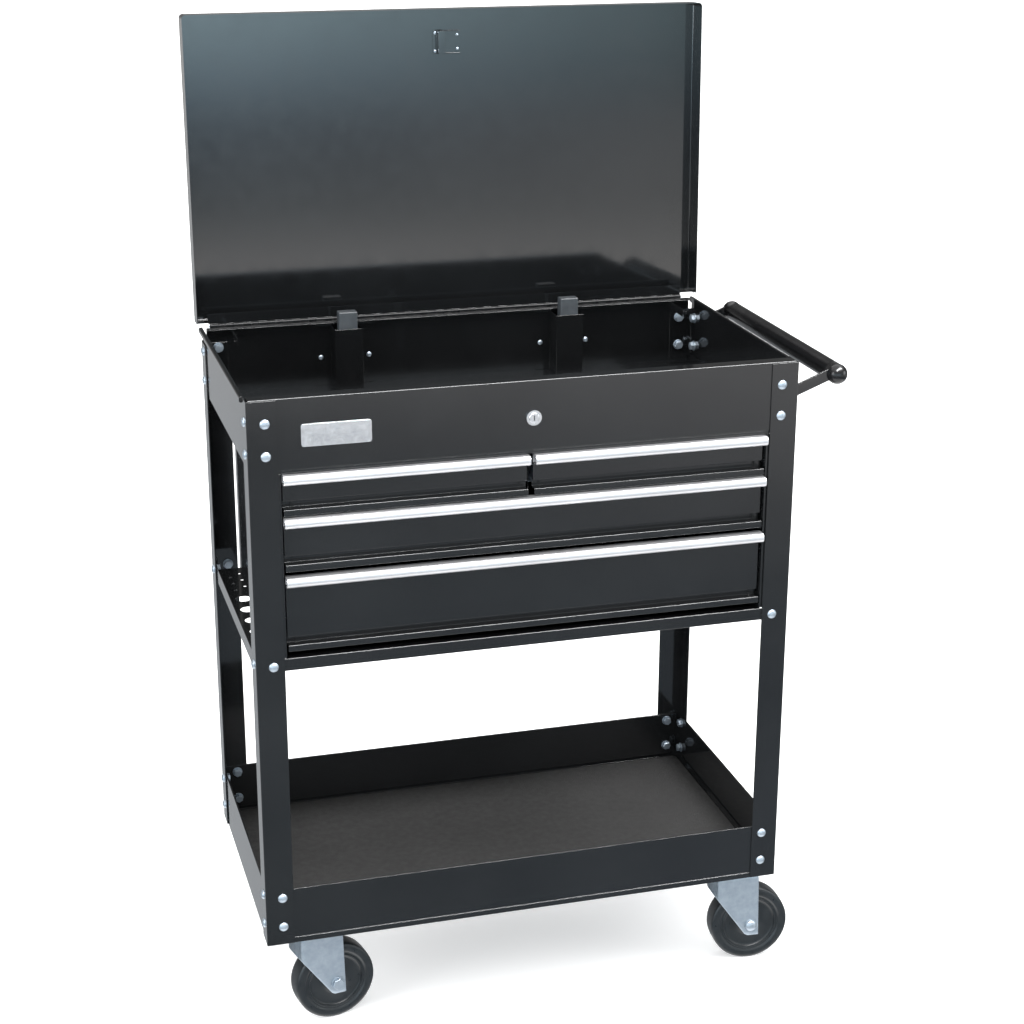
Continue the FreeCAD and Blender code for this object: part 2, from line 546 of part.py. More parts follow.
def fork_shape():
    """Pressed fork, in caster coordinates: x behind the swivel, z up from the floor."""
    outline = [(-24, 128), (-24, 150), (54, 150), (trail + 12.2, 52), (trail + 9.2, 46),
               (trail - 7, 46)]
    wire = Part.makePolygon([V(u, -30, z) for u, z in outline + outline[:1]])
    side = Part.Face(wire).extrude(V(0, 60, 0))

    def bow(half, low, high):
        return Part.makeCylinder(half, high - low, V(0, 0, low)).fuse(
            Part.makeBox(80, 2 * half, high - low, V(0, -half, low)))

    walls = side.common(bow(22.5, 40, 150).cut(bow(19.5, 39, 151)))
    crown = side.common(bow(22.5, 146.6, 150))
    race = Part.makeCylinder(26.5, 9.6, V(0, 0, 150))
    race = race.makeFillet(3.0, [e for e in race.Edges if near(e.BoundBox.ZMin, 159.6)])
    king = Part.makeCylinder(6.0, 19, V(0, 0, 149.5))
    axle = Part.makeCylinder(6.0, 52, V(trail, -26, radius), V(0, 1, 0))
    ends = []
    for v in (-28.5, 22.5):
        hexagon = Part.makePolygon([V(trail + 9 * math.cos(k * math.pi / 3), v,
                                      radius + 9 * math.sin(k * math.pi / 3)) for k in range(7)])
        ends.append(Part.Face(hexagon).extrude(V(0, 6, 0)))
    return walls.multiFuse([crown, race, king, axle] + ends).removeSplitter()


def wheel_shape():
    """Revolved section: tread, side wall, groove ring, web and hub."""
    half = S["wheel_wide"] / 2
    section = [(6.05, -18), (13, -18), (14, -14.5), (38, -12.5), (41, -12.5), (42.5, -15.4),
               (44.5, -15.4), (46, -14), (48, -14), (49.5, -half), (60.5, -half), (radius, -half + 2)]
    section += [(r, -v) for r, v in reversed(section)]
    wire = Part.makePolygon([V(trail + r, v, radius) for r, v in section + section[:1]])
    return Part.Face(wire).revolve(V(trail, 0, radius), V(0, 1, 0), 360)


fork, wheel = fork_shape(), wheel_shape()
HEADINGS = {"front_left": 10.0, "front_right": -4.2, "back_left": 6.0, "back_right": -8.0}
plates = []
for spot, heading in HEADINGS.items():
    end, side = spot.split("_")
    x = S["caster_across"] if side == "left" else WIDE - S["caster_across"]
    y = S["caster_inset"] if end == "front" else DEEP - S["caster_inset"]
    where = FreeCAD.Placement(cart(x, y, 0), FreeCAD.Rotation(V(0, 0, 1), heading))
    solid_piece("fork_" + spot, fork, where)
    solid_piece("wheel_" + spot, wheel, where)
    c = caster_x[0] if side == "left" else caster_x[1]
    d = caster_y[0] if end == "front" else caster_y[1]
    plate = join([box("%s - 47" % c, "%s + 47" % c, "%s - 37" % d, "%s + 37" % d,
                      "caster_plate_top - 3", "caster_plate_top"),
                  rod("z", c, d, "caster_plate_top - 9", 27, 7)])
    tools = [rod("z", "%s %s 37" % (c, sx), "%s %s 27" % (d, sy), "caster_plate_top - 5",
                 "bolt_hole", 8) for sx in "-+" for sy in "-+"]
    plates.append(cut(plate, tools + [rod("z", c, d, "caster_plate_top - 12", 6.06, 20)]))
piece("caster_plates", group(plates))

# ---------------------------------------------------------------- bolts, nuts and rivets


def dome(radius_out, height):
    """A low domed head on the z = 0 plane."""
    ball_radius = (radius_out ** 2 + height ** 2) / (2 * height)
    ball = Part.makeSphere(ball_radius, V(0, 0, height - ball_radius))
    return ball.common(Part.makeBox(40, 40, 20, V(-20, -20, 0)))


def bolt_shape(grip):
    return dome(7.0, 3.8).fuse(Part.makeCylinder(4.0, grip, V(0, 0, -grip))).removeSplitter()


def nut_shape():
    washer = Part.makeCylinder(8.0, 1.4)
    hexagon = Part.makePolygon([V(6.9 * math.cos(k * math.pi / 3), 6.9 * math.sin(k * math.pi / 3), 1.4)
                                for k in range(7)])
    body = washer.fuse(Part.Face(hexagon).extrude(V(0, 0, 6.0)))
    return body.cut(Part.makeCylinder(4.02, 20, V(0, 0, -2))).removeSplitter()


def aimed(shape, point, direction):
    moved = shape.copy()
    moved.Placement = FreeCAD.Placement(cart(*point), FreeCAD.Rotation(V(0, 0, 1), direction))
    return moved


bolts, nuts = [], []
levels = [S[name] for name in FULL]
for z in levels:
    for x in (S["bolt_inset"], WIDE - S["bolt_inset"]):
        sheet_in = {S["bolt_high"]: 4.6, S["bolt_upper"]: 4.6}.get(z, 3.2)
        for y, out in ((0.0, -1), (DEEP, 1)):
            bolts.append(aimed(bolt_shape(12), (x, y, z), V(0, out, 0)))
            under = 2.0 if out > 0 and z == S["bolt_middle"] else sheet_in
            nuts.append(aimed(nut_shape(), (x, y - out * under, z), V(0, -out, 0)))
    for y in (S["bolt_side_inset"], DEEP - S["bolt_side_inset"]):
        for x, out in ((0.0, -1), (WIDE, 1)):
            lift = 3.0 if out > 0 and z > 900 else 0.0     # over the handle brackets
            bolts.append(aimed(bolt_shape(12 + lift), (x + lift, y, z), V(out, 0, 0)))
            inside = 2.0 if out > 0 and z == S["bolt_middle"] else 3.2
            nuts.append(aimed(nut_shape(), (x - out * inside, y, z), V(-out, 0, 0)))
for x in (S["caster_across"], WIDE - S["caster_across"]):
    for y in (S["caster_inset"], DEEP - S["caster_inset"]):
        for dx in (-37, 37):
            for dy in (-27, 27):
                bolts.append(aimed(bolt_shape(6.5), (x + dx, y + dy, S["caster_plate_top"] - 3),
                                   V(0, 0, -1)))
solid_piece("dome_bolts", Part.makeCompound(bolts))
solid_piece("hex_nuts", Part.makeCompound(nuts))
rivet = dome(4.0, 1.8).fuse(Part.makeCylinder(2.2, 4, V(0, 0, -4))).removeSplitter()
solid_piece("channel_rivets", Part.makeCompound([
    aimed(rivet, (WIDE / 2 + sx * S["channel_offset"] + dx, DEEP - 4.6, 939), V(0, -1, 0))
    for sx in (-1, 1) for dx in (-38, 38)]))

# ---------------------------------------------------------------- check and write
doc.recompute()
problems = []
for obj in doc.Objects:
    if any(flag in obj.State for flag in ("Invalid", "Error")):
        problems.append("%s (%s): %s" % (obj.Name, obj.Label, obj.State))
for obj in pieces:
    if obj.Shape.isNull() or not obj.Shape.isValid() or not obj.Shape.Solids:
        problems.append("bad shape: " + obj.Label)
if problems:
    raise RuntimeError("; ".join(problems))

os.makedirs("parts", exist_ok=True)
for obj in pieces:
    obj.Shape.exportStep(os.path.join("parts", obj.Label + ".step"))
print(len(pieces), "pieces written")
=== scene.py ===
import json
import math

import bmesh
import bpy
from mathutils import Matrix, Vector


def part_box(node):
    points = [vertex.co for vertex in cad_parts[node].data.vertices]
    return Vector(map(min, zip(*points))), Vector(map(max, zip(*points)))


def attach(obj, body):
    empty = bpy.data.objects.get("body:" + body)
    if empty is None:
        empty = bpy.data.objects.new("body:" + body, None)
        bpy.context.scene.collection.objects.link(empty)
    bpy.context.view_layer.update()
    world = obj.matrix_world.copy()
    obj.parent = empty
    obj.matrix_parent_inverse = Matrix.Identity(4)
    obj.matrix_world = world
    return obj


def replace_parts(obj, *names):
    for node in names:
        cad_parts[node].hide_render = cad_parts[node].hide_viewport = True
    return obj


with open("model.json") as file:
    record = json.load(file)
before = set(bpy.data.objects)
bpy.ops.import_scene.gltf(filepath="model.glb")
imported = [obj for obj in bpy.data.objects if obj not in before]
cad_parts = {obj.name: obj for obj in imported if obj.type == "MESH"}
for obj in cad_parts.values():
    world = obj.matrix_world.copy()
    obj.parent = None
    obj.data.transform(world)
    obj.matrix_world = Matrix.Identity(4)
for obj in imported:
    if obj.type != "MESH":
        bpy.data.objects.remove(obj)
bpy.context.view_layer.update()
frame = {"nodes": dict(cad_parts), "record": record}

# Sizes and places are millimetres in the cart's own coordinates. MM turns them into metres.
MM = 0.001
NODES = frame["nodes"]
LEFT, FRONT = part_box("post_front_left")[0].x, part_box("post_front_left")[0].y


def limits(node):
    """The lowest and highest corner of a CAD node, in cart millimetres to one decimal."""
    origin = Vector((LEFT, FRONT, 0.0))
    return [[round(value / MM, 1) for value in corner - origin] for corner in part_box(node)]


WIDE, DEEP, _ = limits("post_back_right")[1]


def at(x, y, z):
    """A point of the cart, from its left side, front face and the floor, in millimetres."""
    return Vector((LEFT + x * MM, FRONT + y * MM, z * MM))


# ---------------------------------------------------------------- materials
def fill(band, stops):
    """Sets the stops of a colour band from a list of (place, colour)."""
    band.elements[0].position, band.elements[0].color = stops[0][0], (*stops[0][1], 1)
    band.elements[1].position, band.elements[1].color = stops[-1][0], (*stops[-1][1], 1)
    for place, colour in stops[1:-1]:
        band.elements.new(place).color = (*colour, 1)


class Nodes:
    """A small helper that builds a node tree around one Principled shader."""

    def __init__(self, name):
        self.mat = bpy.data.materials.new(name)
        self.mat.use_nodes = True
        self.tree = self.mat.node_tree
        self.shader = self.tree.nodes["Principled BSDF"]
        self.coords = self.tree.nodes.new("ShaderNodeTexCoord").outputs["Object"]

    def new(self, kind, **inputs):
        node = self.tree.nodes.new(kind)
        for key, value in inputs.items():
            self.put(node.inputs[key], value)
        return node

    def put(self, socket, value):
        if isinstance(value, bpy.types.NodeSocket):
            self.tree.links.new(value, socket)
        else:
            socket.default_value = value

    def stretch(self, scale):
        node = self.new("ShaderNodeMapping", Vector=self.coords)
        node.inputs["Scale"].default_value = scale
        return node.outputs["Vector"]

    def noise(self, scale, detail=3.0, rough=0.55, vector=None):
        node = self.new("ShaderNodeTexNoise", Vector=vector or self.coords)
        node.inputs["Scale"].default_value = scale
        node.inputs["Detail"].default_value = detail
        node.inputs["Roughness"].default_value = rough
        return node.outputs["Fac"]

    def spread(self, fac, low, high, new_low, new_high):
        node = self.new("ShaderNodeMapRange", Value=fac)
        for key, value in zip(("From Min", "From Max", "To Min", "To Max"),
                              (low, high, new_low, new_high)):
            node.inputs[key].default_value = value
        return node.outputs["Result"]

    def ramp(self, fac, stops):
        node = self.new("ShaderNodeValToRGB", Fac=fac)
        fill(node.color_ramp, stops)
        return node.outputs["Color"]

    def math(self, how, a, b):
        node = self.tree.nodes.new("ShaderNodeMath")
        node.operation = how
        self.put(node.inputs[0], a)
        self.put(node.inputs[1], b)
        return node.outputs["Value"]

    def bump(self, height, strength, distance, normal=None):
        node = self.new("ShaderNodeBump", Height=height)
        node.inputs["Strength"].default_value = strength
        node.inputs["Distance"].default_value = distance
        if normal is not None:
            self.put(node.inputs["Normal"], normal)
        return node.outputs["Normal"]

    def surface(self, colour, rough, normal, metallic=0.0, **fixed):
        self.put(self.shader.inputs["Base Color"], colour)
        self.put(self.shader.inputs["Roughness"], rough)
        self.put(self.shader.inputs["Normal"], normal)
        self.shader.inputs["Metallic"].default_value = metallic
        for key, value in fixed.items():
            self.shader.inputs[key.replace("_", " ")].default_value = value
        return self.mat


def black_paint():
    """Gloss black powder coat: fine orange peel, faint handling marks, a little dust."""
    n = Nodes("gloss_black_powder_coat")
    cloud = n.noise(5.0, 4.0)
    peel = n.noise(620.0, 2.0, 0.5)
    marks = n.noise(38.0, 6.0, 0.7)
    colour = n.ramp(cloud, [(0.3, (0.0055, 0.0058, 0.0062)), (0.7, (0.009, 0.0095, 0.010))])
    rough = n.math("ADD", n.spread(marks, 0.35, 0.75, 0.05, 0.12), n.spread(peel, 0.3, 0.7, 0.0, 0.015))
    normal = n.bump(n.noise(160.0, 2.0, 0.5), 0.03, 0.0004, n.bump(peel, 0.06, 0.0001))
    return n.surface(colour, rough, normal, IOR=1.5, Coat_Weight=0.35, Coat_Roughness=0.05)


def shaded_hinge_paint():
    """Darker, duller copy of the black paint for the hinge, which tones down its highlights: painted
    shade with a random mottle.
    """
    n = Nodes("shaded_hinge_black_paint")
    mottle = n.noise(70.0, 5.0, 0.7)
    # colour: a darker black than the body paint, painted shade, mottled at random
    colour = n.ramp(mottle, [(0.3, (0.0040, 0.0042, 0.0045)), (0.7, (0.0075, 0.0078, 0.0082))])
    return n.surface(colour, n.spread(mottle, 0.3, 0.7, 0.22, 0.36),
                     n.bump(n.noise(900.0, 2.0), 0.06, 0.0001), IOR=1.24)


def satin_black():
    """Moulded handle: fine grain under a light polish from hands."""
    n = Nodes("satin_black_moulding")
    grain = n.noise(900.0, 3.0)
    colour = n.ramp(n.noise(12.0), [(0.3, (0.004, 0.004, 0.0045)), (0.7, (0.008, 0.008, 0.0085))])
    return n.surface(colour, n.spread(n.noise(60.0, 5.0), 0.3, 0.7, 0.14, 0.24),
                     n.bump(grain, 0.12, 0.0002), IOR=1.36)


def satin_aluminium():
    """Drawn and anodised aluminium: fine lines along the bar."""
    n = Nodes("anodised_aluminium")
    lines = n.noise(1.0, 5.0, 0.6, n.stretch((3.0, 2600.0, 2600.0)))
    colour = n.ramp(n.noise(9.0, 2.0), [(0.3, (0.43, 0.43, 0.44)), (0.7, (0.50, 0.50, 0.51))])
    return n.surface(colour, n.spread(lines, 0.3, 0.7, 0.36, 0.46), n.bump(lines, 0.05, 0.0001),
                     metallic=0.8)


def zinc():
    """Bright zinc plate: cool sheen with a soft spangle."""
    n = Nodes("bright_zinc_plate")
    spangle = n.noise(85.0, 3.0, 0.6)
    colour = n.ramp(spangle, [(0.3, (0.275, 0.32, 0.365)), (0.7, (0.345, 0.39, 0.435))])
    rough = n.spread(n.noise(240.0, 4.0, 0.65), 0.3, 0.7, 0.34, 0.46)
    return n.surface(colour, rough, n.bump(n.noise(700.0, 3.0), 0.04, 0.0001), metallic=0.78)


def chrome():
    """Polished plate of the lock and the blank badge, with faint rubbing."""
    n = Nodes("polished_chrome")
    colour = n.ramp(n.noise(60.0, 2.0), [(0.3, (0.66, 0.67, 0.69)), (0.7, (0.78, 0.79, 0.80))])
    rough = n.spread(n.noise(300.0, 3.0), 0.3, 0.7, 0.14, 0.24)
    return n.surface(colour, rough, n.bump(n.noise(1300.0, 2.0), 0.04, 0.0001), metallic=1.0)


def wheel_polymer():
    """Moulded wheel: mottled grey-black with fine moulding grain and floor dust."""
    n = Nodes("moulded_wheel_polymer")
    cloud = n.noise(26.0, 5.0, 0.65)
    colour = n.ramp(cloud, [(0.3, (0.0045, 0.0065, 0.008)), (0.7, (0.009, 0.012, 0.014))])
    rough = n.spread(n.noise(120.0, 5.0, 0.7), 0.3, 0.7, 0.26, 0.42)
    return n.surface(colour, rough, n.bump(n.noise(1100.0, 3.0), 0.22, 0.0002), IOR=1.46)


def plunger_plastic():
    """Grey moulded buttons of the two lock plungers."""
    n = Nodes("grey_moulded_plastic")
    colour = n.ramp(n.noise(70.0, 4.0), [(0.3, (0.030, 0.035, 0.040)), (0.7, (0.048, 0.054, 0.060))])
    return n.surface(colour, n.spread(n.noise(260.0, 4.0), 0.3, 0.7, 0.38, 0.52),
                     n.bump(n.noise(1500.0, 2.0), 0.2, 0.0002), IOR=1.46)


def mat_rubber():
    """Pebbled rubber mat with a trace of dust in it."""
    n = Nodes("ribbed_rubber_mat")
    pebble = n.new("ShaderNodeTexVoronoi", Vector=n.coords)
    pebble.inputs["Scale"].default_value = 420.0
    dust = n.noise(14.0, 6.0, 0.7)
    colour = n.ramp(dust, [(0.3, (0.0105, 0.0102, 0.010)), (0.72, (0.018, 0.0176, 0.0173))])
    grain = n.bump(n.noise(2400.0, 2.0), 0.2, 0.0002)
    normal = n.bump(pebble.outputs["Distance"], 0.55, 0.0004, grain)
    return n.surface(colour, n.spread(n.noise(90.0, 4.0), 0.3, 0.7, 0.62, 0.80), normal, IOR=1.45)


PAINT = {
    "black_paint": black_paint(), "satin_aluminium": satin_aluminium(), "zinc_steel": zinc(),
    "chrome_plate": chrome(), "grey_polymer": wheel_polymer(),
    "plunger_plastic": plunger_plastic(), "mat_rubber": mat_rubber(),
    "black_plastic": satin_black(),
}
SLOT = {part["node"]: part["material_slot"] for part in frame["record"]["subparts"]}
for name, node in NODES.items():
    for place in node.material_slots:
        place.material = PAINT[SLOT[name]]
# The hinge leaves get the darker, duller copy of the black paint: painted shade over their highlights.
SHADED_HINGE_PAINT = shaded_hinge_paint()
for name in ("hinge_leaf_body", "lid_hinge_leaf"):
    for place in NODES[name].material_slots:
        place.material = SHADED_HINGE_PAINT


def fold(name, width, angle=32.0):
    """Small round edges on a CAD node, so that folds and cut edges catch the light."""
    node = NODES[name]
    weld = node.modifiers.new("weld", "WELD")
    weld.merge_threshold = 1e-5
    flat = node.modifiers.new("flat", "DECIMATE")
    flat.decimate_type, flat.angle_limit = "DISSOLVE", math.radians(0.5)
    bevel = node.modifiers.new("bevel", "BEVEL")
    bevel.width, bevel.segments = width * MM, 2
    bevel.limit_method, bevel.angle_limit = "ANGLE", math.radians(angle)
    bevel.use_clamp_overlap = False
    bevel.harden_normals = False
    node.modifiers.new("even", "WEIGHTED_NORMAL").weight = 100


# start of the node's name: width of its rounded edges
ROUND_EDGES = {"post_": 0.5, "header": 0.45, "side_panel": 0.4, "back_panel": 0.3, "cabinet_": 0.3,
               "drawer_": 0.5, "lower_tray": 0.4, "tool_rack": 0.35, "handle_brackets": 0.5,
               "lid_catch": 0.25, "plunger_": 0.5, "lock_channels": 0.35, "tray_mat": 0.6,
               "badge": 0.3, "caster_plates": 0.4, "corner_braces": 0.3}
for name in NODES:
    for start, width in ROUND_EDGES.items():
        if name.startswith(start):
            fold(name, width)


# ---------------------------------------------------------------- mesh building
class Shape:
    """Vertices and faces gathered from several simple forms into one mesh, in metres."""

    def __init__(self):
        self.verts, self.faces = [], []

    def add(self, verts, faces, matrix=None):
        base = len(self.verts)
        self.verts += [tuple(matrix @ Vector(v)) if matrix else tuple(v) for v in verts]
        self.faces += [tuple(base + i for i in face) for face in faces]

    def lathe(self, profile, matrix, turns=48):
        """Profile of (radius, height) in millimetres, turned about the matrix's Z axis."""
        verts, faces, rings = [], [], []
        for radius, height in profile:
            if radius < 1e-6:
                rings.append([len(verts)])
                verts.append((0, 0, height * MM))
                continue
            rings.append(list(range(len(verts), len(verts) + turns)))
            for k in range(turns):
                a = 2 * math.pi * k / turns
                verts.append((radius * MM * math.cos(a), radius * MM * math.sin(a), height * MM))
        for low, high in zip(rings, rings[1:]):
            for k in range(turns):
                j = (k + 1) % turns
                corners = [low[k % len(low)], low[j % len(low)], high[j % len(high)],
                           high[k % len(high)]]
                corners = list(dict.fromkeys(corners))
                if len(corners) > 2:
                    faces.append(tuple(corners))
        self.add(verts, faces, matrix)

    def bar(self, outline, x0, x1):
        """Outline of (y, z) in cart millimetres, run along x from x0 to x1."""
        count = len(outline)
        verts = [at(x, y, z) for x in (x0, x1) for y, z in outline]
        faces = [(k, (k + 1) % count, count + (k + 1) % count, count + k) for k in range(count)]
        faces += [tuple(reversed(range(count))), tuple(range(count, 2 * count))]
        self.add(verts, faces)

    def make(self, name, body, slot, sharp=32.0):
        mesh = bpy.data.meshes.new(name)
        mesh.from_pydata(self.verts, [], self.faces)
        mesh.validate()
        mesh.shade_smooth()
        mesh.set_sharp_from_angle(angle=math.radians(sharp))
        obj = bpy.data.objects.new(name, mesh)
        bpy.context.scene.collection.objects.link(obj)
        obj.data.materials.append(PAINT[slot])
        tidy_normals(mesh)
        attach(obj, body)
        return obj


def tidy_normals(mesh):
    """Turns every face outward."""
    work = bmesh.new()
    work.from_mesh(mesh)
    bmesh.ops.recalc_face_normals(work, faces=work.faces)
    work.to_mesh(mesh)
    work.free()


def facing(point, direction, spin=0.0):
    """A matrix that stands a form on point, with its Z axis along direction."""
    turn = Vector(direction).to_track_quat("Z", "Y").to_matrix().to_4x4()
    return Matrix.Translation(point) @ turn @ Matrix.Rotation(math.radians(spin), 4, "Z")


def hexagon(shape, rings, matrix, spin):
    """A hexagonal block through (corner radius, height) rings, closed at the last one."""
    verts, faces = [], []
    for radius, z in rings:
        for k in range(6):
            a = math.radians(60 * k + spin)
            verts.append((radius * MM * math.cos(a), radius * MM * math.sin(a), z * MM))
    for row in range(len(rings) - 1):
        for k in range(6):
            j = (k + 1) % 6
            faces.append((row * 6 + k, row * 6 + j, row * 6 + 6 + j, row * 6 + 6 + k))
    faces.append(tuple(range(len(verts) - 6, len(verts))))
    shape.add(verts, faces, matrix)


def ease(obj, width):
    """A small bevel on the crisp edges of an added form."""
    edge = obj.modifiers.new("edge", "BEVEL")
    edge.width, edge.segments = width * MM, 2
    edge.limit_method, edge.angle_limit = "ANGLE", math.radians(50)


# ---------------------------------------------------------------- bolts, nuts and rivets
BOX_LEVELS, SHELF_LEVEL, TRAY_LEVELS = (966.0, 920.0), 611.5, (246.0, 199.0)
BOLT_LEVELS = (*BOX_LEVELS, SHELF_LEVEL, *TRAY_LEVELS)
BOLT_INSET, BOLT_SIDE_INSET = 25.0, 20.0
# how far behind a post's outer face a nut sits: on the bare post, on one sheet, on the box
POST_GRIP, SHEET_GRIP, BOX_GRIP = 2.0, 3.2, 4.6
BRACKET_STEEL = 3.0
CASTER_ACROSS, CASTER_INSET, PLATE_FOOT = 63.6, 61.0, 166.0
CASTER_X, CASTER_Y = (CASTER_ACROSS, WIDE - CASTER_ACROSS), (CASTER_INSET, DEEP - CASTER_INSET)
# profiles of (radius, height)
HEAD = [(7.0, -0.2), (7.0, 0.5), (6.75, 0.9), (6.0, 1.9), (4.8, 2.8), (3.2, 3.45), (1.6, 3.75),
        (0, 3.85)]
WASHER = [(4.1, 0.0), (7.8, 0.0), (8.0, 0.15), (8.0, 1.15), (7.8, 1.35), (4.1, 1.35)]


def nut(shape, matrix, spin):
    """Plain washer, chamfered hexagon and the end of the screw."""
    shape.lathe(WASHER, matrix, 36)
    hexagon(shape, ((6.6, 1.4), (6.95, 1.9), (6.95, 6.2), (6.3, 6.9)), matrix, spin)
    thread = [(3.6 if k % 2 else 3.95, 6.9 + 0.25 * k) for k in range(3)]
    shape.lathe(thread + [(0, 7.4)], matrix, 24)


def seat(level, out, box_seat):
    """Where a nut sits. At the back and on the right nothing is bolted to the posts at the shelf."""
    if out > 0 and level == SHELF_LEVEL:
        return POST_GRIP
    return box_seat if level in BOX_LEVELS else SHEET_GRIP


heads, nuts = Shape(), Shape()
for index, z in enumerate(BOLT_LEVELS):      # every nut is turned to its own angle
    for x in (BOLT_INSET, WIDE - BOLT_INSET):
        for y, out in ((0.0, -1), (DEEP, 1)):
            inner = y - out * seat(z, out, BOX_GRIP)
            heads.lathe(HEAD, facing(at(x, y, z), (0, out, 0)), 32)
            nut(nuts, facing(at(x, inner, z), (0, -out, 0)), 17 * index + x)
    for y in (BOLT_SIDE_INSET, DEEP - BOLT_SIDE_INSET):
        for x, out in ((0.0, -1), (WIDE, 1)):
            lift = BRACKET_STEEL if out > 0 and z in BOX_LEVELS else 0.0
            inner = x - out * seat(z, out, SHEET_GRIP)
            heads.lathe(HEAD, facing(at(x + out * lift, y, z), (out, 0, 0)), 32)
            nut(nuts, facing(at(inner, y, z), (-out, 0, 0)), 23 * index + y)
for x in CASTER_X:
    for y in CASTER_Y:
        for dx in (-37, 37):
            for dy in (-27, 27):
                heads.lathe(HEAD, facing(at(x + dx, y + dy, PLATE_FOOT), (0, 0, -1)), 24)
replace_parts(heads.make("bolt_heads", "cart", "zinc_steel", 40), "dome_bolts")
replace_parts(nuts.make("nuts_and_washers", "cart", "zinc_steel", 30), "hex_nuts")

RIVET = [(4.0, 0.0), (3.95, 0.5), (3.3, 1.2), (2.2, 1.6), (1.2, 1.75), (1.0, 1.45), (0, 1.35)]
CHANNEL_OFFSET, RIVET_OFFSET, RIVET_LEVEL = 178, 38, 939
CHANNEL_FACE = DEEP - 4.6
rivets = Shape()
for channel in (WIDE / 2 - CHANNEL_OFFSET, WIDE / 2 + CHANNEL_OFFSET):
    for x in (channel - RIVET_OFFSET, channel + RIVET_OFFSET):
        rivets.lathe(RIVET, facing(at(x, CHANNEL_FACE, RIVET_LEVEL), (0, -1, 0)), 24)
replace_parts(rivets.make("channel_rivet_heads", "cart", "zinc_steel"), "channel_rivets")

# The lid stands open, so what is fixed to it is placed from the drawn, shut position.
HINGE_BACK, HINGE_HEIGHT, LID_OPEN = 437.6, 998.0, 91.8
HINGE = at(0, HINGE_BACK, HINGE_HEIGHT)
OPENED = (Matrix.Translation(HINGE) @ Matrix.Rotation(math.radians(-LID_OPEN), 4, "X")
          @ Matrix.Translation(-HINGE))
# x, y, radius and lower face, on the narrow and then on the wide plate of the catch
CATCH_RIVETS = ((383.2, 11, 2.5, 1023.9), (383.2, 38, 2.5, 1023.9),
                (418, 14, 2.1, 1024.1), (418, 35, 2.1, 1024.1))
catch = Shape()
for x, y, size, low in CATCH_RIVETS:
    catch.lathe([(size, -0.3), (size, 0.1), (size * 0.8, 0.6), (size * 0.4, 0.9), (0, 1.0)],
                OPENED @ facing(at(x, y, low), (0, 0, -1)), 20)
catch.make("catch_rivet_heads", "lid", "zinc_steel")

# ---------------------------------------------------------------- drawer pulls
NOSE_Y, NOSE_OUT, NOSE_IN = -3, 7.0, 4.6


def arc(cy, cz, radius, a0, a1, steps):
    """Points of (y, z) on an arc from angle a0 to a1."""
    turn = [math.radians(a0 + (a1 - a0) * k / steps) for k in range(steps + 1)]
    return [(cy + radius * math.cos(a), cz + radius * math.sin(a)) for a in turn]


for name in ("top_left", "top_right", "middle", "deep"):
    (x0, _, _), (x1, _, top) = limits("pull_" + name)
    centre = top - NOSE_OUT
    # over the flange, round the nose, back along its inside and down the leg on the drawer
    outline = [(9.6, top), *arc(NOSE_Y, centre, NOSE_OUT, 90, 270, 22), (0.2, top - 14.0),
               (0.5, top - 13.7), (0.5, top - 11.9), (0.2, top - 11.6),
               *arc(NOSE_Y, centre, NOSE_IN, 270, 90, 16), (7.8, top - 2.4), (7.8, top - 13.0),
               (10.0, top - 13.0), (10.0, top - 0.4)]
    pull = Shape()
    pull.bar(outline, x0, x1)
    obj = pull.make("pull_bar_" + name, "drawer_" + name, "satin_aluminium", 28)
    ease(obj, 0.25)
    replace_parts(obj, "pull_" + name)

# ---------------------------------------------------------------- push handle
HANDLE_OUT, HANDLE_HEIGHT = 65, 973
TUBE_R, CAP_R, CAP_Y = 14.6, 15.0, 11
cap_curve = [(CAP_R * math.sin(math.radians(a)), CAP_Y - CAP_R * math.cos(math.radians(a)))
             for a in range(0, 91, 9)]
tube = [(TUBE_R, y) for y in (12.0, 30.0, 120.0, 217.0, 320.0, 404.0, 422.0)]
far_cap = [(radius, DEEP - y) for radius, y in reversed(cap_curve)]
profile = [*cap_curve, (CAP_R, 11.6), *tube, (CAP_R, 422.4), *far_cap]
grip = Shape()
grip.lathe(profile, facing(at(WIDE + HANDLE_OUT, 0, HANDLE_HEIGHT), (0, 1, 0)), 64)
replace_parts(grip.make("handle_grip", "cart", "black_plastic", 50), "handle_tube", "handle_caps")

# ---------------------------------------------------------------- casters
TRAIL, WHEEL_R = 44.3, 62.5
CROWN_R, CROWN_TOP, TOE = 21.0, 146.5, 55
# the slanting lower edge of the fork, as (behind the swivel, height), from its heel to its foot
HEEL_U, HEEL_Z, FOOT_U, FOOT_Z = -22, 128, 37, 44.5
HEADINGS = {"front_left": 10.0, "front_right": -4.2, "back_left": 6.0, "back_right": -8.0}


def wheel_profile():
    """From the bore over one face, the tread and back, as (radius, height)."""
    side = [(6.1, 17.8), (12.2, 17.9), (13.0, 17.4), (13.6, 15.0), (15.0, 14.0), (24.0, 13.1),
            (37.0, 12.6), (40.2, 12.6), (41.4, 13.4), (42.0, 15.2), (43.0, 15.6), (44.4, 15.4),
            (45.2, 14.4), (47.0, 14.1), (48.2, 14.6), (49.4, 15.8), (51.0, 16.0), (57.0, 15.95),
            (59.6, 15.7), (61.2, 14.9), (62.0, 13.6)]
    tread = [(62.4, 9.0), (62.5, 3.0)]
    front = side + tread
    return front + [(r, -h) for r, h in reversed(front)] + [(6.1, 17.8)]


